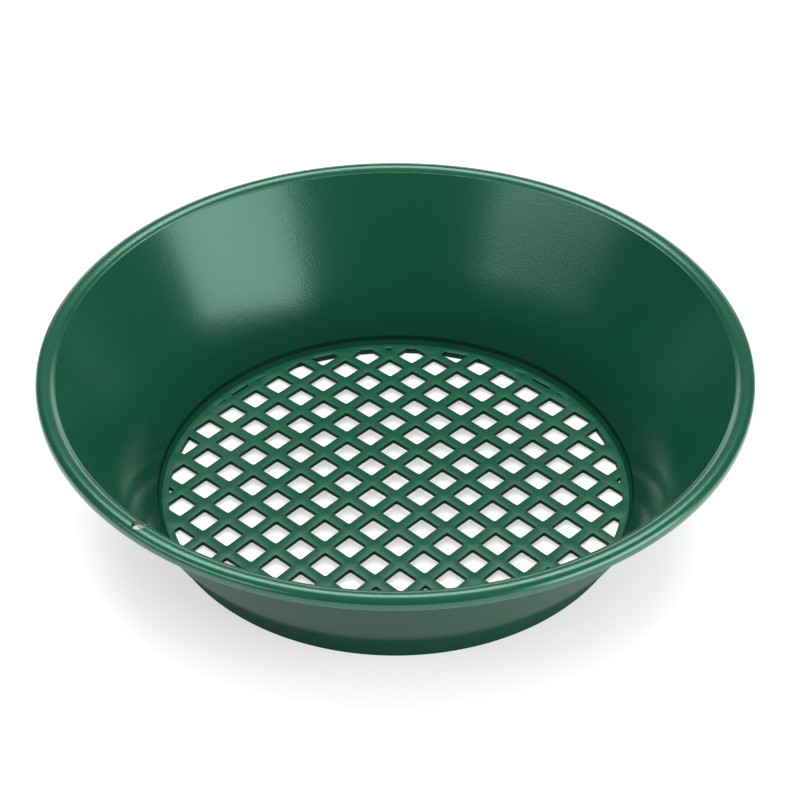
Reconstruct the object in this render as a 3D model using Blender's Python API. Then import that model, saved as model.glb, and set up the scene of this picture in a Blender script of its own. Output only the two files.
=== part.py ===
"""Gold-panning classifier: a round sieve bowl moulded in one piece of green plastic.

A conical side wall rises from a perforated floor to an out-turned rim with one
hang hole. Units are metres, +Z is up, and the origin is the centre of the foot
on the ground. The moulding is modelled as its four regions, each one object:
rim_flange, side_wall, base_ring and sieve_grid.
"""
import math

import bmesh
import bpy

# Overall sizes
RIM_RADIUS = 0.1778
TOTAL_HEIGHT = 0.0900

# Rim: a flange with a domed top and a lip turned down along its outer edge
FLANGE_WIDTH = 0.0092
FLANGE_THICKNESS = 0.0014
CREST_RISE = 0.0017
CREST_INSET = 0.0044
SHOULDER_DROP = 0.0032
LIP_DROP = 0.0058
LIP_THICKNESS = 0.0022
LIP_ROUNDING = 0.0006
HANG_HOLE_DIAMETER = 0.0066
HANG_HOLE_EDGE = 0.0003
HANG_HOLE_ANGLE = math.radians(227.7)

# Side wall, measured level across its thickness: at its foot and just under the rim
WALL_WIDTH = 0.0024
WALL_TOP_WIDTH = 0.0016

# Base: a short steep step, a flat border round the floor, and the foot under both
FLOOR_RADIUS = 0.1216
FLOOR_TOP = 0.0035
STEP_HEIGHT = 0.0049
STEP_DRAFT = 0.0018
BORDER_WIDTH = 0.0038
FOOT_ROUNDING = 0.0012

# Sieve grid: square holes in rows that run diagonally, with a slightly raised middle
GRID_THICKNESS = 0.0024
GRID_CROWN = 0.0038
HOLE_PITCH = 0.01746
HOLE_SIDE = 0.0120
HOLE_CORNER = 0.0009
HOLE_TURN = math.radians(46.9)
SMALLEST_BITE = 0.0015

GAP = 0.0003
SEGMENTS = 96
ARC_STEPS = 3
CORNER_STEPS = 2
DOME_STEPS = 4
CUTTER_MARGIN = 0.004

# Heights and radii that follow from the sizes above
MOUTH_RADIUS = RIM_RADIUS - FLANGE_WIDTH
MOUTH_HEIGHT = TOTAL_HEIGHT - CREST_RISE
FLANGE_UNDERSIDE = MOUTH_HEIGHT - FLANGE_THICKNESS
WALL_TOP = FLANGE_UNDERSIDE - GAP
STEP_TOP = FLOOR_TOP + STEP_HEIGHT
WALL_FOOT_RADIUS = FLOOR_RADIUS + STEP_DRAFT
GRID_CIRCLE = FLOOR_RADIUS - BORDER_WIDTH
WALL_FLARE = (MOUTH_RADIUS - WALL_FOOT_RADIUS) / (MOUTH_HEIGHT - STEP_TOP)


def wall_radius(height):
    """Radius of the wall's inner face at a height."""
    return WALL_FOOT_RADIUS + WALL_FLARE * (height - STEP_TOP)


def clear_scene():
    for obj in list(bpy.data.objects):
        bpy.data.objects.remove(obj, do_unlink=True)


def plastic(name, colour, roughness):
    material = bpy.data.materials.new(name)
    material.use_nodes = True
    shader = material.node_tree.nodes["Principled BSDF"]
    shader.inputs["Base Color"].default_value = (*colour, 1.0)
    shader.inputs["Roughness"].default_value = roughness
    shader.inputs["Metallic"].default_value = 0.0
    return material


def rounded_corner(before, corner, after, radius):
    """Points of an arc that rounds one corner of an outline, in order."""
    to_before = (before[0] - corner[0], before[1] - corner[1])
    to_after = (after[0] - corner[0], after[1] - corner[1])
    length_before = math.hypot(*to_before)
    length_after = math.hypot(*to_after)
    unit_before = (to_before[0] / length_before, to_before[1] / length_before)
    unit_after = (to_after[0] / length_after, to_after[1] / length_after)
    cosine = unit_before[0] * unit_after[0] + unit_before[1] * unit_after[1]
    half_angle = math.acos(max(-1.0, min(1.0, cosine))) / 2
    reach = min(radius / math.tan(half_angle), 0.45 * length_before, 0.45 * length_after)
    start = (corner[0] + unit_before[0] * reach, corner[1] + unit_before[1] * reach)
    end = (corner[0] + unit_after[0] * reach, corner[1] + unit_after[1] * reach)
    points = []
    for step in range(ARC_STEPS + 1):
        t = step / ARC_STEPS
        a, b, c = (1 - t) ** 2, 2 * t * (1 - t), t ** 2
        points.append((
            a * start[0] + b * corner[0] + c * end[0],
            a * start[1] + b * corner[1] + c * end[1],
        ))
    return points


def turned_ring(name, outline, material):
    """A ring turned from a closed (radius, height) outline whose outer side runs downward."""
    mesh = bpy.data.meshes.new(name)
    vertices = [(radius, 0.0, height) for radius, height in outline]
    count = len(vertices)
    edges = [(i, (i + 1) % count) for i in range(count)]
    mesh.from_pydata(vertices, edges, [])
    ring = bpy.data.objects.new(name, mesh)
    bpy.context.collection.objects.link(ring)
    screw = ring.modifiers.new("Turn", "SCREW")
    screw.axis = "Z"
    screw.angle = math.tau
    screw.steps = SEGMENTS
    screw.render_steps = SEGMENTS
    screw.use_merge_vertices = True
    screw.merge_threshold = 0.00001
    screw.use_smooth_shade = True
    mesh.materials.append(material)
    return ring


def cutter(name, bm):
    mesh = bpy.data.meshes.new(name)
    bm.to_mesh(mesh)
    bm.free()
    obj = bpy.data.objects.new(name, mesh)
    bpy.context.collection.objects.link(obj)
    obj.hide_render = True
    obj.display_type = "WIRE"
    return obj


def cut(target, tool):
    boolean = target.modifiers.new("Cut " + tool.name, "BOOLEAN")
    boolean.operation = "DIFFERENCE"
    boolean.solver = "EXACT"
    boolean.object = tool


def hang_hole_cutter():
    """A drill that passes down through the flange and the wall's top beside it."""
    depth = LIP_DROP + 2 * CUTTER_MARGIN
    centre_radius = MOUTH_RADIUS + HANG_HOLE_EDGE + HANG_HOLE_DIAMETER / 2
    bm = bmesh.new()
    bmesh.ops.create_cone(
        bm, cap_ends=True, segments=24, depth=depth,
        radius1=HANG_HOLE_DIAMETER / 2, radius2=HANG_HOLE_DIAMETER / 2,
    )
    tool = cutter("hang_hole_drill", bm)
    tool.location = (
        centre_radius * math.cos(HANG_HOLE_ANGLE),
        centre_radius * math.sin(HANG_HOLE_ANGLE),
        TOTAL_HEIGHT + CUTTER_MARGIN - depth / 2,
    )
    return tool


def flange_dome():
    """The flange's top: a gentle rise from the mouth to the crest, then a round shoulder."""
    crest_radius = RIM_RADIUS - CREST_INSET
    points = []
    for step in range(DOME_STEPS):
        t = step / DOME_STEPS
        radius = MOUTH_RADIUS + (crest_radius - MOUTH_RADIUS) * t
        points.append((radius, MOUTH_HEIGHT + CREST_RISE * math.sin(t * math.pi / 2)))
    for step in range(DOME_STEPS + 1):
        turn = step / DOME_STEPS * math.pi / 2
        radius = crest_radius + CREST_INSET * math.sin(turn)
        points.append((radius, TOTAL_HEIGHT - SHOULDER_DROP * (1 - math.cos(turn))))
    return points


def rim_flange(material, drill):
    """The out-turned rim: a domed flange and its down-turned outer lip."""
    lip_bottom = TOTAL_HEIGHT - LIP_DROP
    lip_inside = RIM_RADIUS - LIP_THICKNESS
    dome = flange_dome()
    lip_inner_corner = (lip_inside, lip_bottom)
    outline = [
        *dome,
        *rounded_corner(dome[-1], (RIM_RADIUS, lip_bottom), lip_inner_corner, LIP_ROUNDING),
        lip_inner_corner,
        (lip_inside, FLANGE_UNDERSIDE),
        (wall_radius(FLANGE_UNDERSIDE), FLANGE_UNDERSIDE),
    ]
    ring = turned_ring("rim_flange", outline, material)
    cut(ring, drill)
    return ring


def side_wall(material, drill):
    """The conical wall between the rim and the step round the floor."""
    foot = STEP_TOP + GAP
    outline = [
        (wall_radius(WALL_TOP), WALL_TOP),
        (wall_radius(WALL_TOP) + WALL_TOP_WIDTH, WALL_TOP),
        (wall_radius(foot) + WALL_WIDTH, foot),
        (wall_radius(foot), foot),
    ]
    ring = turned_ring("side_wall", outline, material)
    cut(ring, drill)
    return ring


def base_ring(material):
    """The steep step, the plain border of the floor and the flat foot it stands on."""
    outer_foot = (wall_radius(0.0) + WALL_WIDTH, 0.0)
    outer_top = (WALL_FOOT_RADIUS + WALL_WIDTH, STEP_TOP)
    inner_foot = (GRID_CIRCLE, 0.0)
    outline = [
        (WALL_FOOT_RADIUS, STEP_TOP),
        outer_top,
        *rounded_corner(outer_top, outer_foot, inner_foot, FOOT_ROUNDING),
        inner_foot,
        (GRID_CIRCLE, FLOOR_TOP),
        (FLOOR_RADIUS, FLOOR_TOP),
    ]
    return turned_ring("base_ring", outline, material)


def hole_centres():
    """Centres of the square holes that bite into the grid's circle."""
    reach = math.ceil(GRID_CIRCLE / HOLE_PITCH) + 1
    cosine = math.cos(HOLE_TURN)
    sine = math.sin(HOLE_TURN)
    half = HOLE_SIDE / 2
    centres = []
    for row in range(-reach, reach + 1):
        for column in range(-reach, reach + 1):
            u = row * HOLE_PITCH
            v = column * HOLE_PITCH
            nearest = math.hypot(max(abs(u) - half, 0.0), max(abs(v) - half, 0.0))
            if nearest < GRID_CIRCLE - SMALLEST_BITE:
                centres.append((u * cosine - v * sine, u * sine + v * cosine))
    return centres


def hole_outline():
    """Points round one hole about its own centre: a turned square with rounded corners."""
    points = []
    inset = HOLE_SIDE / 2 - HOLE_CORNER
    for quarter in range(4):
        corner = HOLE_TURN + math.pi / 4 + quarter * math.pi / 2
        centre_x = math.sqrt(2) * inset * math.cos(corner)
        centre_y = math.sqrt(2) * inset * math.sin(corner)
        for step in range(CORNER_STEPS + 1):
            turn = corner + math.pi / 2 * (step / CORNER_STEPS - 0.5)
            points.append((
                centre_x + HOLE_CORNER * math.cos(turn),
                centre_y + HOLE_CORNER * math.sin(turn),
            ))
    return points


def hole_cutter():
    """One mesh of square posts, one through each hole of the grid."""
    bm = bmesh.new()
    height = GRID_THICKNESS + 2 * CUTTER_MARGIN
    outline = hole_outline()
    for x, y in hole_centres():
        square = [bm.verts.new((x + dx, y + dy, -height / 2)) for dx, dy in outline]
        face = bm.faces.new(square)
        raised = bmesh.ops.extrude_face_region(bm, geom=[face])
        tops = [item for item in raised["geom"] if isinstance(item, bmesh.types.BMVert)]
        bmesh.ops.translate(bm, verts=tops, vec=(0.0, 0.0, height))
    bmesh.ops.recalc_face_normals(bm, faces=bm.faces)
    tool = cutter("hole_posts", bm)
    tool.location.z = FLOOR_TOP - GRID_THICKNESS / 2
    return tool


def crowned(obj):
    """Replace the object's mesh by its evaluated one, raised toward the middle."""
    graph = bpy.context.evaluated_depsgraph_get()
    mesh = bpy.data.meshes.new_from_object(obj.evaluated_get(graph))
    obj.modifiers.clear()
    obj.data = mesh
    for vertex in mesh.vertices:
        share = (vertex.co.x ** 2 + vertex.co.y ** 2) / GRID_CIRCLE ** 2
        vertex.co.z += GRID_CROWN * (1 - min(share, 1.0))


def sieve_grid(material):
    """The lattice of bars that sifts the gravel, cut to a circle inside the border."""
    bm = bmesh.new()
    radius = GRID_CIRCLE - GAP
    bmesh.ops.create_cone(
        bm, cap_ends=True, segments=SEGMENTS, depth=GRID_THICKNESS, radius1=radius, radius2=radius,
    )
    bmesh.ops.translate(bm, verts=bm.verts, vec=(0.0, 0.0, FLOOR_TOP - GRID_THICKNESS / 2))
    mesh = bpy.data.meshes.new("sieve_grid")
    bm.to_mesh(mesh)
    bm.free()
    mesh.materials.append(material)
    grid = bpy.data.objects.new("sieve_grid", mesh)
    bpy.context.collection.objects.link(grid)
    cut(grid, hole_cutter())
    grid.modifiers.new("Triangles", "TRIANGULATE")
    crowned(grid)
    return grid


def shade(obj, crease):
    """Smooth shading with the real corners kept sharp."""
    obj.data.shade_smooth()
    obj.data.set_sharp_from_angle(angle=crease)


def build():
    clear_scene()
    drill = hang_hole_cutter()
    rim_flange(plastic("rim_green", (0.020, 0.160, 0.095), 0.34), drill)
    side_wall(plastic("wall_green", (0.012, 0.115, 0.068), 0.30), drill)
    base_ring(plastic("base_green", (0.012, 0.110, 0.065), 0.34))
    grid = sieve_grid(plastic("grid_green", (0.018, 0.130, 0.080), 0.42))
    shade(grid, math.radians(35))


build()
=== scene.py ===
# %% [markdown]
# # A moulded green classifier for a gold pan
# This bowl is one piece of injection-moulded polypropylene: a conical wall, a rounded
# rim with a hang hole, and a sieve floor of square holes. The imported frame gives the
# sizes. Four pieces are made here, one for each region of the moulding, and they meet
# at the moulding's own creases, so that together they look like the single real piece.

# %% Load the frame
import math
import bpy
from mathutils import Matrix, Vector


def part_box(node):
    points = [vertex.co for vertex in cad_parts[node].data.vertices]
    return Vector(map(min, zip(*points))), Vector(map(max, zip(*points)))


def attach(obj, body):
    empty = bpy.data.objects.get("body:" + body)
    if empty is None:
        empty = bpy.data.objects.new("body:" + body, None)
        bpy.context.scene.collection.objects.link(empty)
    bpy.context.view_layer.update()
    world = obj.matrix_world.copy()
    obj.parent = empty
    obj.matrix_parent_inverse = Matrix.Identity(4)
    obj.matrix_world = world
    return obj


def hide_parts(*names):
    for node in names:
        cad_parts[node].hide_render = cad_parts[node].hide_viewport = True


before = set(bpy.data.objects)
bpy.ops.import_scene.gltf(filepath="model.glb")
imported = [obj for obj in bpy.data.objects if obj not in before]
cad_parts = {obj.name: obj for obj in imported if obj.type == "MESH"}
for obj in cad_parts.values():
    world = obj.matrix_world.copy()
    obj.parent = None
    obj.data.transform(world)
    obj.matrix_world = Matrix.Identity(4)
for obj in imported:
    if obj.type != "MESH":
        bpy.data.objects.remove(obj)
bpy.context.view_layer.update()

rim_low, rim_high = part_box("rim_flange")
RIM_RADIUS = rim_high[0]
TOTAL_HEIGHT = rim_high[2]
LIP_BOTTOM = rim_low[2]
print("rim radius", round(RIM_RADIUS, 4), "height", round(TOTAL_HEIGHT, 4))

# %% [markdown]
# Every piece is drawn in the same way as a turner would think of it: a ring of points
# is extruded again and again, each time to the next radius and height of the section.
# Operators act on whatever is selected, so the helpers below always start from nothing
# selected and pick rings by their place.

# %% Small modelling helpers
RING_POINTS = 256


def deselect_objects():
    """Leaves nothing selected, so that an operator can't reach an older object."""
    for obj in bpy.context.selected_objects:
        obj.select_set(False)


def start_ring(name, radius, height):
    """Adds a ring of points and leaves it in edit mode, all selected."""
    deselect_objects()
    bpy.ops.mesh.primitive_circle_add(
        vertices=RING_POINTS, radius=radius, location=(0, 0, height))
    piece = bpy.context.object
    piece.name = name
    piece.data.name = name
    bpy.ops.object.transform_apply(location=True, rotation=True, scale=True)
    bpy.ops.object.mode_set(mode="EDIT")
    bpy.ops.mesh.select_all(action="SELECT")
    return piece


def extrude_ring(start, end):
    """Extrudes the selected ring from one (radius, height) to the next."""
    bpy.ops.mesh.extrude_region()
    share = end[0] / start[0]
    bpy.ops.transform.resize(value=(share, share, 1), center_override=(0, 0, start[1]))
    bpy.ops.transform.translate(value=(0, 0, end[1] - start[1]))


def turned_piece(name, section):
    """A closed ring whose section is a list of (radius, height) corners in order."""
    piece = start_ring(name, *section[0])
    for start, end in zip(section, section[1:]):
        extrude_ring(start, end)
    bpy.ops.mesh.extrude_region()
    share = section[0][0] / section[-1][0]
    bpy.ops.transform.resize(value=(share, share, 1), center_override=(0, 0, section[-1][1]))
    bpy.ops.transform.translate(value=(0, 0, section[0][1] - section[-1][1]))
    bpy.ops.mesh.select_all(action="SELECT")
    bpy.ops.mesh.remove_doubles(threshold=1e-6)
    bpy.ops.mesh.normals_make_consistent(inside=False)
    bpy.ops.object.mode_set(mode="OBJECT")
    return piece


def apply_modifiers(piece):
    """Applies a piece's modifiers in the order in which they were added."""
    bpy.context.view_layer.objects.active = piece
    for modifier in list(piece.modifiers):
        bpy.ops.object.modifier_apply(modifier=modifier.name)


def arc(centre, radius, start_deg, end_deg, steps):
    """Points of an arc in the section's (radius, height) plane."""
    points = []
    for step in range(steps + 1):
        turn = math.radians(start_deg + (end_deg - start_deg) * step / steps)
        points.append((centre[0] + radius * math.cos(turn),
                       centre[1] + radius * math.sin(turn)))
    return points


def finish_smooth(piece, crease_deg):
    """Shades a piece smooth, and leaves edges sharper than the crease angle crisp."""
    deselect_objects()
    piece.select_set(True)
    bpy.context.view_layer.objects.active = piece
    bpy.ops.object.shade_smooth_by_angle(angle=math.radians(crease_deg))
    print(piece.name, len(piece.data.polygons), "faces")


# %% [markdown]
# The section of the moulding comes next. The wall is a cone, so its inner radius grows
# evenly with height; writing it as one small function keeps the wall, the rim and the
# step on the same line. The outer face is a second function, because the wall thins
# towards the rim.

# %% The moulding's section
CREST_RISE = 0.0017
MOUTH_RADIUS = 0.1686
MOUTH_HEIGHT = TOTAL_HEIGHT - CREST_RISE
STEP_TOP = 0.0084
STEP_TOP_RADIUS = 0.1234
FLOOR_RADIUS = 0.1216
FLOOR_TOP = 0.0035
WALL_WIDTH = 0.0024
WALL_TOP_WIDTH = 0.0016
MOUTH_ROUNDING = 0.0009
LIP_THICKNESS = 0.0022
FLARE = (MOUTH_RADIUS - STEP_TOP_RADIUS) / (MOUTH_HEIGHT - STEP_TOP)
FLARE_DEG = math.degrees(math.atan(FLARE))
print("the wall leans out", round(FLARE_DEG, 1), "degrees from upright")


def wall_radius(height):
    """Radius of the wall's inner face at a height."""
    return STEP_TOP_RADIUS + FLARE * (height - STEP_TOP)


def wall_outside(height):
    """Radius of its outer face. The wall thins evenly towards the rim."""
    width = WALL_WIDTH + (WALL_TOP_WIDTH - WALL_WIDTH) * height / MOUTH_HEIGHT
    return wall_radius(height) + width


# %% [markdown]
# The camera looks down at the bowl from about forty degrees with a long lens, which
# keeps the two sides of the rim nearly parallel. It is placed by the angle that it
# looks down and its distance from the middle of the rim.

# %% Camera
LOOK_DOWN = math.radians(38.58)
CAMERA_DISTANCE = 1.110
CAMERA_RIGHT = 0.00227
CAMERA_DOWN = 0.0219
camera_data = bpy.data.cameras.new("camera")
camera_data.lens = 100.5
camera_data.sensor_width = 36
camera = bpy.data.objects.new("camera", camera_data)
bpy.context.collection.objects.link(camera)
camera.rotation_euler = (math.pi / 2 - LOOK_DOWN, 0, 0)
camera.location = (
    CAMERA_RIGHT,
    -CAMERA_DISTANCE * math.cos(LOOK_DOWN) - CAMERA_DOWN * math.sin(LOOK_DOWN),
    MOUTH_HEIGHT + CAMERA_DISTANCE * math.sin(LOOK_DOWN) - CAMERA_DOWN * math.cos(LOOK_DOWN),
)
bpy.context.scene.camera = camera
print("camera at", [round(c, 3) for c in camera.location])

# %% [markdown]
# A product stage needs a pale floor and a few large soft lights. Glossy plastic shows a
# light wherever its surface leans the right way, so the two front panels are placed to
# draw the two pale patches on the far inside of the bowl, and the two behind draw the
# bright lines on the rim. The overhead lamp gives the even light. It would wash over
# every upward face as a reflection, so it is kept out of the reflections. The floor
# lies just under the foot, so that the two never share a plane.

# %% Floor, world and lights
FLOOR_SIZE = 60
FLOOR_CLEARANCE = 0.0002
AIM_HEIGHT = 0.05
WORLD_STRENGTH = 0.06
deselect_objects()
bpy.ops.mesh.primitive_plane_add(size=FLOOR_SIZE, location=(0, 0, -FLOOR_CLEARANCE))
floor = bpy.context.object
floor.name = "floor"


def soft_light(name, azimuth_deg, elevation_deg, distance, width, height, power, turn_deg=0):
    """An area light that faces the bowl, or is turned a little away from it.

    Azimuth 0 is the camera's side, and plus is to the right of it.
    """
    azimuth = math.radians(azimuth_deg)
    elevation = math.radians(elevation_deg)
    data = bpy.data.lights.new(name, "AREA")
    data.shape = "RECTANGLE"
    data.size = width
    data.size_y = height
    data.energy = power
    light = bpy.data.objects.new(name, data)
    bpy.context.collection.objects.link(light)
    level = distance * math.cos(elevation)
    light.location = (level * math.sin(azimuth), -level * math.cos(azimuth),
                      AIM_HEIGHT + distance * math.sin(elevation))
    light.rotation_euler = (math.pi / 2 - elevation, 0, azimuth + math.radians(turn_deg))
    print(name, "at", [round(c, 2) for c in light.location], power, "W")
    return light


soft_light("right_panel", 61, 14, 1.6, 1.25, 1.1, 30)
soft_light("left_panel", -62, 31, 2.03, 1.6, 0.66, 14, turn_deg=20)
overhead = soft_light("overhead", 0, 82, 1.7, 2.2, 2.0, 47)
overhead.visible_glossy = False
soft_light("behind_high", 180, 66, 2.0, 2.2, 0.8, 40)
soft_light("behind_low", 180, 11, 2.2, 2.6, 0.6, 12)
world = bpy.data.worlds.new("world")
bpy.context.scene.world = world
world.use_nodes = True
world.node_tree.nodes["Background"].inputs["Color"].default_value = (1, 1, 1, 1)
world.node_tree.nodes["Background"].inputs["Strength"].default_value = WORLD_STRENGTH
bpy.context.scene.view_settings.view_transform = "Standard"

# %% [markdown]
# Materials are easier to read as sums than as wires, so one small class wraps a node
# socket and lets Python's own operators add the Math nodes.

# %% Shader maths
class Shade:
    """A socket in a material. Arithmetic on number sockets adds Math nodes."""

    def __init__(self, tree, socket):
        self.tree = tree
        self.socket = socket

    def _math(self, operation, first, second):
        return self.node("ShaderNodeMath", {"operation": operation}, {0: first, 1: second})

    def node(self, kind, settings, inputs, output=0):
        return add_node(self.tree, kind, settings, inputs, output)

    def __add__(self, other):
        return self._math("ADD", self, other)

    def __radd__(self, other):
        return self._math("ADD", other, self)

    def __sub__(self, other):
        return self._math("SUBTRACT", self, other)

    def __rsub__(self, other):
        return self._math("SUBTRACT", other, self)

    def __mul__(self, other):
        return self._math("MULTIPLY", self, other)

    def __rmul__(self, other):
        return self._math("MULTIPLY", other, self)

    def __gt__(self, other):
        return self._math("GREATER_THAN", self, other)

    def root(self):
        return self.node("ShaderNodeMath", {"operation": "SQRT"}, {0: self})


def add_node(tree, kind, settings, inputs, output=0):
    """Adds one node: its settings first, then values or links for its sockets."""
    node = tree.nodes.new(kind)
    for name, value in settings.items():
        setattr(node, name, value)
    for name, value in inputs.items():
        if isinstance(value, Shade):
            tree.links.new(value.socket, node.inputs[name])
        else:
            node.inputs[name].default_value = value
    return Shade(tree, node.outputs[output])


# %% [markdown]
# Moulded polypropylene is a deep, even colour under a satin skin. What gives it away as
# real are small things: the skin is never quite flat, it has fine scuffs, and its gloss
# changes a little from place to place. The colour also tints the sheen, which makes the
# highlights pale green. One function makes the plastic, and each finish asks for its
# own shine, ripple and scuffing. The darker, nearly dull plastic is painted shade: it
# paints the shade inside the holes and on the step.

# %% Moulded plastic
GREEN = (0.0038, 0.049, 0.026)
# painted shade: a darker green for the faces that lie in shade
PAINTED_SHADE_GREEN = (0.0015, 0.016, 0.009)
SHEEN_TINT = (0.6, 1.0, 0.86, 1.0)
PLASTIC_IOR = 1.49
DARKEST = 0.86
LIGHTEST = 1.12
RELIEF_DEPTH = 0.0003


def moulded_plastic(name, colour, shine, roughness, ripple, scuffing):
    """A satin plastic whose colour, gloss and relief change a little over the surface."""
    material = bpy.data.materials.new(name)
    material.use_nodes = True
    tree = material.node_tree
    shader = tree.nodes["Principled BSDF"]
    place = add_node(tree, "ShaderNodeTexCoord", {}, {}, "Object")
    broad = place.node("ShaderNodeTexNoise", {},
                       {"Vector": place, "Scale": 14.0, "Detail": 3.0})
    fine = place.node("ShaderNodeTexNoise", {},
                      {"Vector": place, "Scale": 900.0, "Detail": 2.0})
    swirl = place.node("ShaderNodeTexNoise", {},
                       {"Vector": place, "Scale": 160.0, "Detail": 6.0, "Roughness": 0.75})
    darker = tuple(channel * DARKEST for channel in colour) + (1.0,)
    lighter = tuple(channel * LIGHTEST for channel in colour) + (1.0,)
    tint = place.node("ShaderNodeMix", {"data_type": "RGBA"},
                      {0: broad, 6: darker, 7: lighter}, 2)
    tree.links.new(tint.socket, shader.inputs["Base Color"])
    gloss = roughness + (broad - 0.5) * 0.05 + (swirl - 0.5) * scuffing
    tree.links.new(gloss.socket, shader.inputs["Roughness"])
    relief = fine * 0.3 + broad * ripple + swirl * scuffing
    bump = place.node("ShaderNodeBump", {},
                      {"Height": relief, "Strength": 0.5, "Distance": RELIEF_DEPTH})
    tree.links.new(bump.socket, shader.inputs["Normal"])
    shader.inputs["IOR"].default_value = PLASTIC_IOR
    shader.inputs["Specular IOR Level"].default_value = shine
    shader.inputs["Specular Tint"].default_value = SHEEN_TINT
    print(name, "shine", shine, "roughness", roughness)
    return material


wall_plastic = moulded_plastic(
    "wall_plastic", GREEN, shine=0.50, roughness=0.23, ripple=1.0, scuffing=0.04)
rim_plastic = moulded_plastic(
    "rim_plastic", GREEN, shine=0.85, roughness=0.25, ripple=0.8, scuffing=0.08)
grid_plastic = moulded_plastic(
    "grid_plastic", GREEN, shine=0.35, roughness=0.36, ripple=1.0, scuffing=0.35)
# painted shade: a darker, nearly dull plastic for the hole sides and the step
painted_shade_plastic = moulded_plastic(
    "painted_shade_plastic", PAINTED_SHADE_GREEN, shine=0.10, roughness=0.60, ripple=1.0, scuffing=0.20)

# %% [markdown]
# The floor is a light table: a grey sheet that also glows a little. The glow fills the
# shadow under the bowl, as the lamps inside such a table do, and gives a white ground.

# %% Floor paint
floor_paint = bpy.data.materials.new("floor_paint")
floor_paint.use_nodes = True
for socket, value in (("Base Color", (0.50, 0.50, 0.50, 1)), ("Roughness", 0.8),
                      ("Emission Color", (1, 1, 1, 1)), ("Emission Strength", 0.55)):
    floor_paint.node_tree.nodes["Principled BSDF"].inputs[socket].default_value = value
floor.data.materials.append(floor_paint)
print("floor painted")

# %% [markdown]
# The lowest part of the outside gets a darker, dull skin: painted shade that stands in
# for the shaded ground which the wall would mirror near its foot. Roughness alone would
# still mirror the pale ground at a low angle, so a second, dull skin is mixed in. The foot
# of the inside gets the same darker, dull skin. A point is outside when it lies farther
# from the axis than the middle of the wall. Under the rim the outside keeps its shine.

# %% Painted shade on the foot
# painted shade: the darker green of the dull skin low on the wall
SHADED_DULL_GREEN = (0.0034, 0.042, 0.023, 1.0)
DULL_BELOW = 0.020
SATIN_ABOVE = 0.030
SATIN_DULLNESS = 0.70
SHINE_RETURNS_FROM = 0.063
SHINE_RETURNS_TO = 0.075
INNER_DULL_BELOW = 0.014
INNER_DULL_TO = 0.034
INNER_DULLNESS = 0.85


def fade(height, low, high, below, above):
    """A smooth change with height, from one value below to another above."""
    return height.node("ShaderNodeMapRange", {"interpolation_type": "SMOOTHSTEP"},
                       {"Value": height, "From Min": low, "From Max": high,
                        "To Min": below, "To Max": above})


def shade_and_dull_foot(material):
    """Mixes a darker, dull skin into a plastic low on both faces of the wall, as painted
    shade.
    """
    tree = material.node_tree
    place = add_node(tree, "ShaderNodeTexCoord", {}, {}, "Object")
    x = place.node("ShaderNodeSeparateXYZ", {}, {"Vector": place}, "X")
    y = Shade(tree, x.socket.node.outputs["Y"])
    height = Shade(tree, x.socket.node.outputs["Z"])
    radius = (x * x + y * y).root()
    middle = (height - STEP_TOP) * FLARE + (STEP_TOP_RADIUS + WALL_WIDTH / 2)
    outside = radius > middle
    outer_dull = fade(height, DULL_BELOW, SATIN_ABOVE, 1.0, SATIN_DULLNESS)
    below_rim = fade(height, SHINE_RETURNS_FROM, SHINE_RETURNS_TO, 1.0, 0.0)
    inner_dull = fade(height, INNER_DULL_BELOW, INNER_DULL_TO, INNER_DULLNESS, 0.0)
    # how much of the darker, dull skin is mixed in: painted shade low on the wall
    dullness = outer_dull * below_rim * outside + inner_dull * (1 - outside)
    skin = Shade(tree, tree.nodes["Principled BSDF"].outputs["BSDF"])
    dull = add_node(tree, "ShaderNodeBsdfPrincipled", {},
                    {"Base Color": SHADED_DULL_GREEN, "Roughness": 0.85,
                     "Specular IOR Level": 0.05}, "BSDF")
    mixed = add_node(tree, "ShaderNodeMixShader", {}, {0: dullness, 1: skin, 2: dull})
    tree.links.new(mixed.socket, tree.nodes["Material Output"].inputs["Surface"])
    print(material.name, "is dull below", DULL_BELOW)


shade_and_dull_foot(wall_plastic)

# %% [markdown]
# The side wall is the cone. It also carries the whole outside of the bowl down to the
# rounded foot, so that no seam crosses the smooth outer face.

# %% Side wall
FOOT_ROUNDING = 0.0012
FOOT_CHAMFER = 0.0004
FOOT_FLAT = 0.0014
FOOT_SPLIT = 0.0018
STEP_LEAD = 0.0002
STEP_LEAD_DROP = 0.0012
MIDDLE = 0.045
rim_joint = MOUTH_HEIGHT - MOUTH_ROUNDING
foot_edge = wall_radius(0) + WALL_WIDTH
wall_section = [
    (wall_radius(rim_joint), rim_joint),
    (wall_outside(rim_joint), rim_joint),
    (wall_outside(MIDDLE), MIDDLE),
    (wall_outside(FOOT_ROUNDING), FOOT_ROUNDING),
    (wall_outside(FOOT_ROUNDING) - FOOT_CHAMFER, FOOT_CHAMFER),
    (foot_edge - FOOT_FLAT, 0.0),
    (foot_edge - FOOT_SPLIT, 0.0),
    (STEP_TOP_RADIUS - STEP_LEAD, STEP_TOP - STEP_LEAD_DROP),
    (STEP_TOP_RADIUS, STEP_TOP),
    (wall_radius(MIDDLE), MIDDLE),
]
side_wall = turned_piece("side_wall_skin", wall_section)
print("side wall section", len(wall_section), "corners")

# %% [markdown]
# At the foot of the cone the wall drops almost upright for a few millimetres. This step
# has the darker, painted shade plastic, which paints the dark line of shade round the
# sieve floor. Faces that stand upright are found by their normals and given the second
# material.

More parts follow.
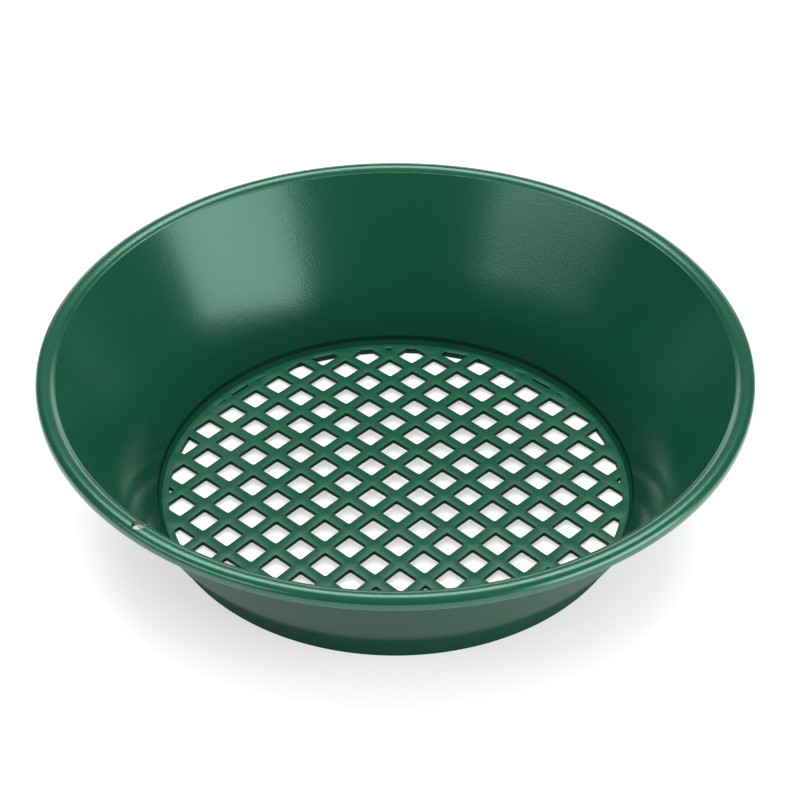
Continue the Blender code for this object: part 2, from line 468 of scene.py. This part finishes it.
# %% Base ring
FLOOR_BORDER = 0.0038
UPRIGHT = 0.6
base_section = [
    (STEP_TOP_RADIUS + 0.0006, STEP_TOP + 0.0001),
    (STEP_TOP_RADIUS, STEP_TOP),
    (FLOOR_RADIUS + 0.0004, FLOOR_TOP + 0.0009),
    (FLOOR_RADIUS, FLOOR_TOP + 0.0003),
    (FLOOR_RADIUS - 0.0006, FLOOR_TOP - 0.0001),
    (FLOOR_RADIUS - FLOOR_BORDER, 0.0010),
    (FLOOR_RADIUS - FLOOR_BORDER, 0.0002),
    (FLOOR_RADIUS - FLOOR_BORDER + 0.0002, 0.0),
    (foot_edge - FOOT_SPLIT + 0.0001, 0.0),
]
base_ring = turned_piece("base_ring_skin", base_section)


def mark_shaded_faces(piece, lowest, highest):
    """Gives the second, painted shade material to the upright faces between two heights."""
    count = 0
    for face in piece.data.polygons:
        if abs(face.normal.z) < UPRIGHT and lowest < face.center.z < highest:
            face.material_index = 1
            count += 1
    print(piece.name, count, "painted shade faces")


base_ring.data.materials.append(grid_plastic)
base_ring.data.materials.append(painted_shade_plastic)
# the upright faces of the step get the painted shade
mark_shaded_faces(base_ring, 0.0, STEP_TOP)
finish_smooth(base_ring, 50)

# %% [markdown]
# The rim turns out from the mouth over a small rounding, rises to a low crest and rolls
# down over a round shoulder to a thin lip. Underneath it is hollow.

# %% Rim
CREST_INSET = 0.0044
SHOULDER_DROP = 0.0032
FLANGE_THICKNESS = 0.0014
MOUTH_EDGE_END_DEG = 105
SLOPE_STEPS = 6
SLOPE_POWER = 2.2
SHOULDER_STEPS = 8
LIP_OUTER_ROUNDING = 0.0007
LIP_INNER_ROUNDING = 0.0005
UNDER_ROUNDING = 0.0008
JOINT_OVERLAP = 0.0004
CREST_RADIUS = RIM_RADIUS - CREST_INSET
flange_underside = MOUTH_HEIGHT - FLANGE_THICKNESS
lip_inside = RIM_RADIUS - LIP_THICKNESS
lean = math.radians(FLARE_DEG)
rounding_centre = (wall_radius(rim_joint) + MOUTH_ROUNDING * math.cos(lean),
                   rim_joint - MOUTH_ROUNDING * math.sin(lean))
mouth_edge = arc(rounding_centre, MOUTH_ROUNDING, 180 - FLARE_DEG, MOUTH_EDGE_END_DEG, 5)
slope = []
for step in range(1, SLOPE_STEPS):
    t = step / SLOPE_STEPS
    rise = 1 - (1 - t) ** SLOPE_POWER
    slope.append((mouth_edge[-1][0] + (CREST_RADIUS - mouth_edge[-1][0]) * t,
                  mouth_edge[-1][1] + (TOTAL_HEIGHT - mouth_edge[-1][1]) * rise))
shoulder = []
for step in range(SHOULDER_STEPS + 1):
    turn = math.radians(90 * step / SHOULDER_STEPS)
    shoulder.append((CREST_RADIUS + CREST_INSET * math.sin(turn),
                     TOTAL_HEIGHT - SHOULDER_DROP * (1 - math.cos(turn))))
lip = arc((RIM_RADIUS - LIP_OUTER_ROUNDING, LIP_BOTTOM + LIP_OUTER_ROUNDING),
          LIP_OUTER_ROUNDING, 0, -90, 4)
lip += arc((lip_inside + LIP_INNER_ROUNDING, LIP_BOTTOM + LIP_INNER_ROUNDING),
           LIP_INNER_ROUNDING, -90, -180, 3)
under = arc((lip_inside - UNDER_ROUNDING, flange_underside - UNDER_ROUNDING),
            UNDER_ROUNDING, 0, 90, 3)
inside_wall = wall_radius(flange_underside) + WALL_TOP_WIDTH / 2
rim_section = mouth_edge + slope + shoulder + lip + under + [
    (inside_wall, flange_underside), (inside_wall, rim_joint - JOINT_OVERLAP)]
rim = turned_piece("rim_skin", rim_section)
print("rim section", len(rim_section), "corners")

# %% [markdown]
# The hang hole is drilled through the flange close to the mouth. A cutter is used
# because a drilled hole crosses the rings at an angle that no extrusion follows.

# %% Hang hole
HOLE_RADIUS = 0.0033
HOLE_EDGE = 0.0003
HOLE_TURN = math.radians(227.7)
HOLE_CENTRE = MOUTH_RADIUS + HOLE_EDGE + HOLE_RADIUS
deselect_objects()
bpy.ops.mesh.primitive_cylinder_add(
    vertices=48, radius=HOLE_RADIUS, depth=0.014,
    location=(HOLE_CENTRE * math.cos(HOLE_TURN), HOLE_CENTRE * math.sin(HOLE_TURN),
              TOTAL_HEIGHT - 0.003))
drill = bpy.context.object
for piece in (rim, side_wall):
    hole = piece.modifiers.new("hang_hole", "BOOLEAN")
    hole.operation = "DIFFERENCE"
    hole.solver = "EXACT"
    hole.object = drill
    apply_modifiers(piece)
bpy.data.objects.remove(drill, do_unlink=True)
finish_smooth(rim, 40)
finish_smooth(side_wall, 40)

# %% [markdown]
# The sieve floor starts as a sheet of square cells. Each cell is inset to leave the
# bars, and the middles are raised into posts, which are the shape of the holes. The
# posts' edges are rounded as a mould cutter leaves them, and the whole set is turned.

# %% Posts for the holes
HOLE_PITCH = 0.01746
HOLE_SIDE = 0.0120
HOLE_CORNER = 0.0009
GRID_TURN = math.radians(46.9)
GRID_CIRCLE = 0.1178
GRID_THICKNESS = 0.0024
GRID_CROWN = 0.0038
CELLS = 15
POST_BOTTOM = -0.002
POST_HEIGHT = 0.012
BAR_EDGE = 0.0004

deselect_objects()
bpy.ops.mesh.primitive_grid_add(
    x_subdivisions=CELLS, y_subdivisions=CELLS, size=CELLS * HOLE_PITCH,
    location=(0, 0, POST_BOTTOM))
posts = bpy.context.object
bpy.ops.object.transform_apply(location=True, rotation=True, scale=True)
bpy.ops.object.mode_set(mode="EDIT")
bpy.ops.mesh.select_mode(type="FACE")
bpy.ops.mesh.select_all(action="SELECT")
bpy.ops.mesh.inset(thickness=(HOLE_PITCH - HOLE_SIDE) / 2, use_individual=True)
bpy.ops.mesh.select_all(action="INVERT")
bpy.ops.mesh.delete(type="FACE")
bpy.ops.mesh.select_all(action="SELECT")
bpy.ops.mesh.extrude_region()
bpy.ops.transform.translate(value=(0, 0, POST_HEIGHT))
bpy.ops.mesh.select_all(action="SELECT")
bpy.ops.mesh.normals_make_consistent(inside=False)
bpy.ops.mesh.select_mode(type="VERT")
bpy.ops.object.mode_set(mode="OBJECT")
posts.rotation_euler = (0, 0, GRID_TURN)
bpy.ops.object.transform_apply(location=True, rotation=True, scale=True)
corners = posts.modifiers.new("corners", "BEVEL")
corners.width = HOLE_CORNER
corners.segments = 2
apply_modifiers(posts)
print(len(posts.data.polygons), "post faces")

# %% [markdown]
# The posts are trimmed to the sieve's circle, so that a plain border is left round the
# floor. Then they cut their holes from a round disc, and the bars' edges are rounded.

# %% Sieve disc
deselect_objects()
bpy.ops.mesh.primitive_cylinder_add(
    vertices=RING_POINTS, radius=GRID_CIRCLE, depth=0.02, location=(0, 0, 0.004))
trimmer = bpy.context.object
trim = posts.modifiers.new("trim", "BOOLEAN")
trim.operation = "INTERSECT"
trim.solver = "EXACT"
trim.object = trimmer
apply_modifiers(posts)
bpy.data.objects.remove(trimmer, do_unlink=True)

deselect_objects()
bpy.ops.mesh.primitive_cylinder_add(
    vertices=RING_POINTS, radius=FLOOR_RADIUS + 0.0004, depth=GRID_THICKNESS,
    location=(0, 0, FLOOR_TOP - GRID_THICKNESS / 2))
sieve = bpy.context.object
sieve.name = "sieve_floor"
bpy.ops.object.transform_apply(location=True, rotation=True, scale=True)
holes = sieve.modifiers.new("holes", "BOOLEAN")
holes.operation = "DIFFERENCE"
holes.solver = "EXACT"
holes.object = posts
edge = sieve.modifiers.new("edge", "BEVEL")
edge.width = BAR_EDGE
edge.segments = 2
edge.limit_method = "ANGLE"
edge.angle_limit = math.radians(60)
sieve.modifiers.new("triangles", "TRIANGULATE")
apply_modifiers(sieve)
bpy.data.objects.remove(posts, do_unlink=True)
print(len(sieve.data.polygons), "faces before the crown")

# %% [markdown]
# The real floor is crowned by a few millimetres, which keeps a wide grid of thin bars
# stiff. Every point is lifted by its distance from the border, and the sides of the
# holes get the darker, painted shade plastic, which paints the shade inside the holes.

# %% Crown
for vertex in sieve.data.vertices:
    share = (vertex.co.x ** 2 + vertex.co.y ** 2) / GRID_CIRCLE ** 2
    vertex.co.z += GRID_CROWN * max(1 - share, 0)
sieve.data.materials.append(grid_plastic)
sieve.data.materials.append(painted_shade_plastic)
# the upright sides of the holes get the painted shade
mark_shaded_faces(sieve, 0.0, FLOOR_TOP + GRID_CROWN)
finish_smooth(sieve, 35)

# %% [markdown]
# Last, each piece gets its plastic and rides on the one rigid body, and the region of
# the frame that it stands for is hidden.

# %% Hand over
rim.data.materials.append(rim_plastic)
side_wall.data.materials.append(wall_plastic)
for piece, node in ((rim, "rim_flange"), (side_wall, "side_wall"),
                    (base_ring, "base_ring"), (sieve, "sieve_grid")):
    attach(piece, "root")
    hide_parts(node)
